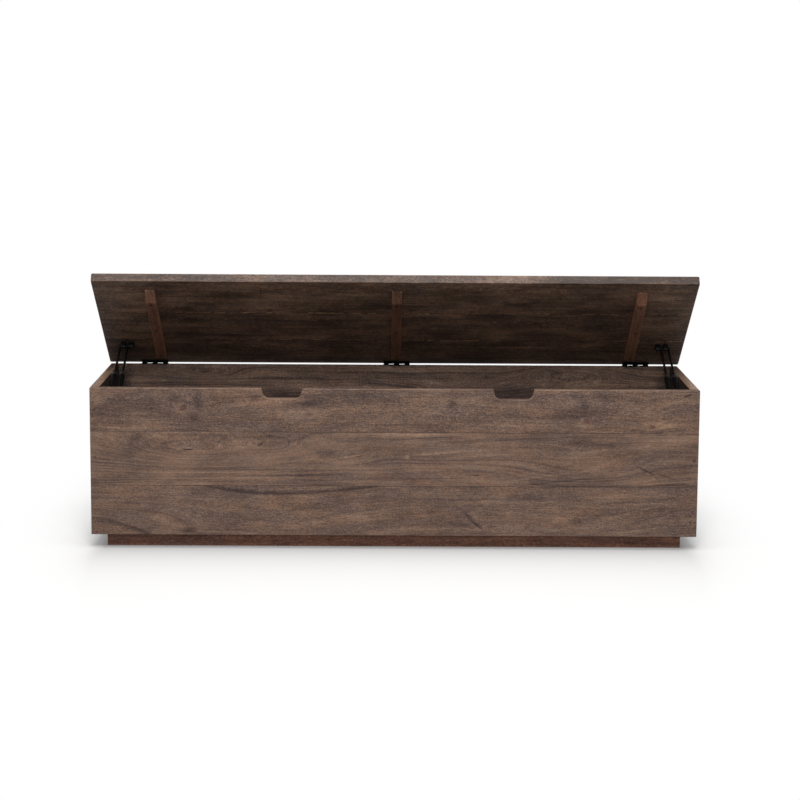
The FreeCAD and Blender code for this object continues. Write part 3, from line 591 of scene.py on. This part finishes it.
def small_wood():
    """Battens, plinth, cleats, plugs and the floor of the box."""
    for side, seed, tone in (("left", 20.3, 0.05), ("centre", 22.0, -0.16), ("right", 23.7, 0.12)):
        give(wood(side + "_batten_wood", LID_SLOPE, BATTEN, seed=seed, tone=tone),
             side + "_batten")
    give(wood("plinth_long_wood", GRAIN_X, REDDISH, seed=24.9, contrast=1.2,
              hills=[(-400, 14, 160, 14, 16), (330, 20, 220, 16, -18)],
              knots=[(520, 14, 3)]), "plinth_front_rail", "plinth_back_rail")
    give(wood("plinth_short_wood", GRAIN_Y, REDDISH, seed=26.2, contrast=1.2),
         "plinth_left_rail", "plinth_right_rail", "plinth_cross_rail")
    give(wood("block_wood", GRAIN_Z, REDDISH, seed=27.8), "plinth_corner_blocks")
    give(wood("cleat_long_wood", GRAIN_X, BATTEN, seed=29.1), "front_cleat", "back_cleat")
    give(wood("cleat_short_wood", GRAIN_Y, BATTEN, seed=30.7), "end_cleats", "centre_bearer")
    give(wood("plywood_face", PANEL_X, OILED, seed=32.3, contrast=0.8,
              hills=[(-350, 0, 420, 120, 160), (380, -40, 420, 120, 150)]), "bottom_panel")
    give(wood("plug_face", GRAIN_X, OILED, seed=33.5, tone=-0.22), "wood_plugs")


def hardware():
    """Everything of metal and plastic, by the record's material slots."""
    made = metals()
    # Dark screws; on the battens the dark finish also stands in as painted shade for their countersunk holes
    dark_screws = ("anchor_screws", "batten_screws", "box_leaf_screws", "bracket_screws",
                   "lid_leaf_screws")
    for part in frame["record"]["subparts"]:
        if part["node"] in dark_screws:
            give(made["dark_screw"], part["node"])
        elif part["material_slot"] in made:
            give(made[part["material_slot"]], part["node"])


# ---------------------------------------------------------------- stage, lights, camera

FLOOR_SIZE = 60        # metres
FLOOR_GAP = 0.0004     # the floor is just under the plinth, in metres
SHADE_LEFT = 0.0005    # what is left of the painted shadow a metre from the plinth
FADE = (-0.6, 1.2)     # metres from the plinth over which it turns from matt to glow; the glow is painted light, about a quarter strong at the plinth


def grey(value):
    """A pale grey a little on the blue side."""
    return (value, value, value + 0.005, 1)


def stage():
    """A seamless pale floor with painted shadow and reflection of the bench round the plinth, reaching furthest in
    front and behind, that fades to white.
    """
    bpy.ops.mesh.primitive_plane_add(size=FLOOR_SIZE, location=(0, 0, -FLOOR_GAP))
    floor = bpy.context.object
    floor.name = "studio_floor"
    material = bpy.data.materials.new("studio_floor")
    material.use_nodes = True
    graph = Graph(material.node_tree)
    seen = graph.tree.nodes.new("ShaderNodeLightPath").outputs["Is Camera Ray"]
    place = graph.tree.nodes.new("ShaderNodeTexCoord").outputs["Object"]

    # How far a place is from the plinth; sideways counts four times
    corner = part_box("plinth_front_rail")[1][0], -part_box("plinth_front_rail")[0][1], 0
    outside = graph.vector("SUBTRACT", graph.vector("ABSOLUTE", place), corner)
    outside = graph.vector("MAXIMUM", outside, (0, 0, 0))
    distance = graph.length(graph.vector("MULTIPLY", outside, (4, 1, 1)))
    painted_floor_shade = graph.math("POWER", SHADE_LEFT, distance)

    # To all rays but the camera's the floor is darker, so that it lights the bench less
    dim = 0.28
    # For the camera the floor's colour and glow are painted darker round the plinth: painted shadow and reflection
    # of the bench
    albedo = graph.mix(seen, (0.42, 0.41, 0.40, 1), graph.mix(painted_floor_shade, grey(0.86), grey(0.44)))
    matt = graph.add("BsdfPrincipled", {"Base Color": albedo, "Roughness": 0.45,
                                        "Specular IOR Level": 0.12})
    # The glow is an even white far out; near the bench it is painted light that lightens the floor's shadows
    glow = graph.add("Emission", {"Color": graph.mix(painted_floor_shade, (1, 1, 1, 1), grey(0.54)),
                                  "Strength": graph.math("MULTIPLY_ADD", seen, 1 - dim, dim)})
    shade = graph.add("MixShader", {0: graph.ramp(distance, *FADE), 1: matt, 2: glow})
    output = graph.tree.nodes.new("ShaderNodeOutputMaterial")
    graph.tree.links.new(shade, output.inputs[0])
    floor.data.materials.append(material)


def surround():
    """A white surround for the eye that lights the bench only softly."""
    soft = 0.14
    world = bpy.data.worlds.new("studio")
    bpy.context.scene.world = world
    world.use_nodes = True
    graph = Graph(world.node_tree)
    seen = graph.tree.nodes.new("ShaderNodeLightPath").outputs["Is Camera Ray"]
    strength = graph.math("MULTIPLY_ADD", seen, 1 - soft, soft)
    light = graph.add("Background", {"Color": (1, 1, 1, 1), "Strength": strength})
    output = graph.tree.nodes.new("ShaderNodeOutputWorld")
    graph.tree.links.new(light, output.inputs[0])


def area_light(name, place, target, size, power, colour=(1, 1, 1)):
    """A rectangular light that faces a target, with its power in watts."""
    data = bpy.data.lights.new(name, "AREA")
    data.shape = "RECTANGLE"
    data.size, data.size_y = size
    data.energy = power
    data.color = colour
    lamp = bpy.data.objects.new(name, data)
    lamp.location = place
    aim = Vector(target) - Vector(place)
    lamp.rotation_euler = aim.to_track_quat("-Z", "Y").to_euler()
    lamp.visible_camera = False
    bpy.context.collection.objects.link(lamp)


def lights():
    """A high key in front, a fill behind the camera, and lights behind, beside and above."""
    warm = (1.0, 0.985, 0.965)
    mild = (1.0, 0.99, 0.98)
    area_light("key", (0.0, -4.0, 4.2), (0, 0, 0.25), size=(1.3, 1.8), power=232, colour=warm)
    area_light("fill", (0.0, -6.8, 1.9), (0, 0, 0.35), size=(1.6, 1.2), power=78, colour=mild)
    area_light("back", (0.0, 5.0, 2.6), (0, 0, 0.3), size=(2.4, 1.6), power=110, colour=mild)
    for side in (-1, 1):
        area_light("side", (side * 4.6, 0.0, 0.30), (0, 0, 0.24), size=(1.6, 0.4), power=46)
    area_light("overhead", (0.0, -1.0, 3.4), (0, -0.2, 0.3), size=(2.6, 1.2), power=62,
               colour=mild)


def camera():
    """The camera, nearly square to the front and above the open lid; its turns are radians."""
    place = (-0.0242, -5.7062, 1.2157)
    yaw, pitch, roll = 0.0067, 0.1515, 0.0061
    forward = Vector((math.sin(yaw) * math.cos(pitch), math.cos(yaw) * math.cos(pitch),
                      -math.sin(pitch)))
    level = Vector((math.cos(yaw), -math.sin(yaw), 0))
    upward = level.cross(forward)
    right = level * math.cos(roll) + upward * math.sin(roll)
    up = upward * math.cos(roll) - level * math.sin(roll)
    data = bpy.data.cameras.new("camera")
    data.sensor_width = 36.0
    data.lens = 100.42
    eye = bpy.data.objects.new("camera", data)
    turn = Matrix((right, up, -forward)).transposed().to_4x4()
    eye.matrix_world = Matrix.Translation(place) @ turn
    bpy.context.collection.objects.link(eye)
    bpy.context.scene.camera = eye
    view = bpy.context.scene.view_settings
    view.view_transform = "Standard"
    view.look = "None"


camera()
stage()
surround()
lights()
front_boards()
other_walls()
lid_boards()
small_wood()
hardware()
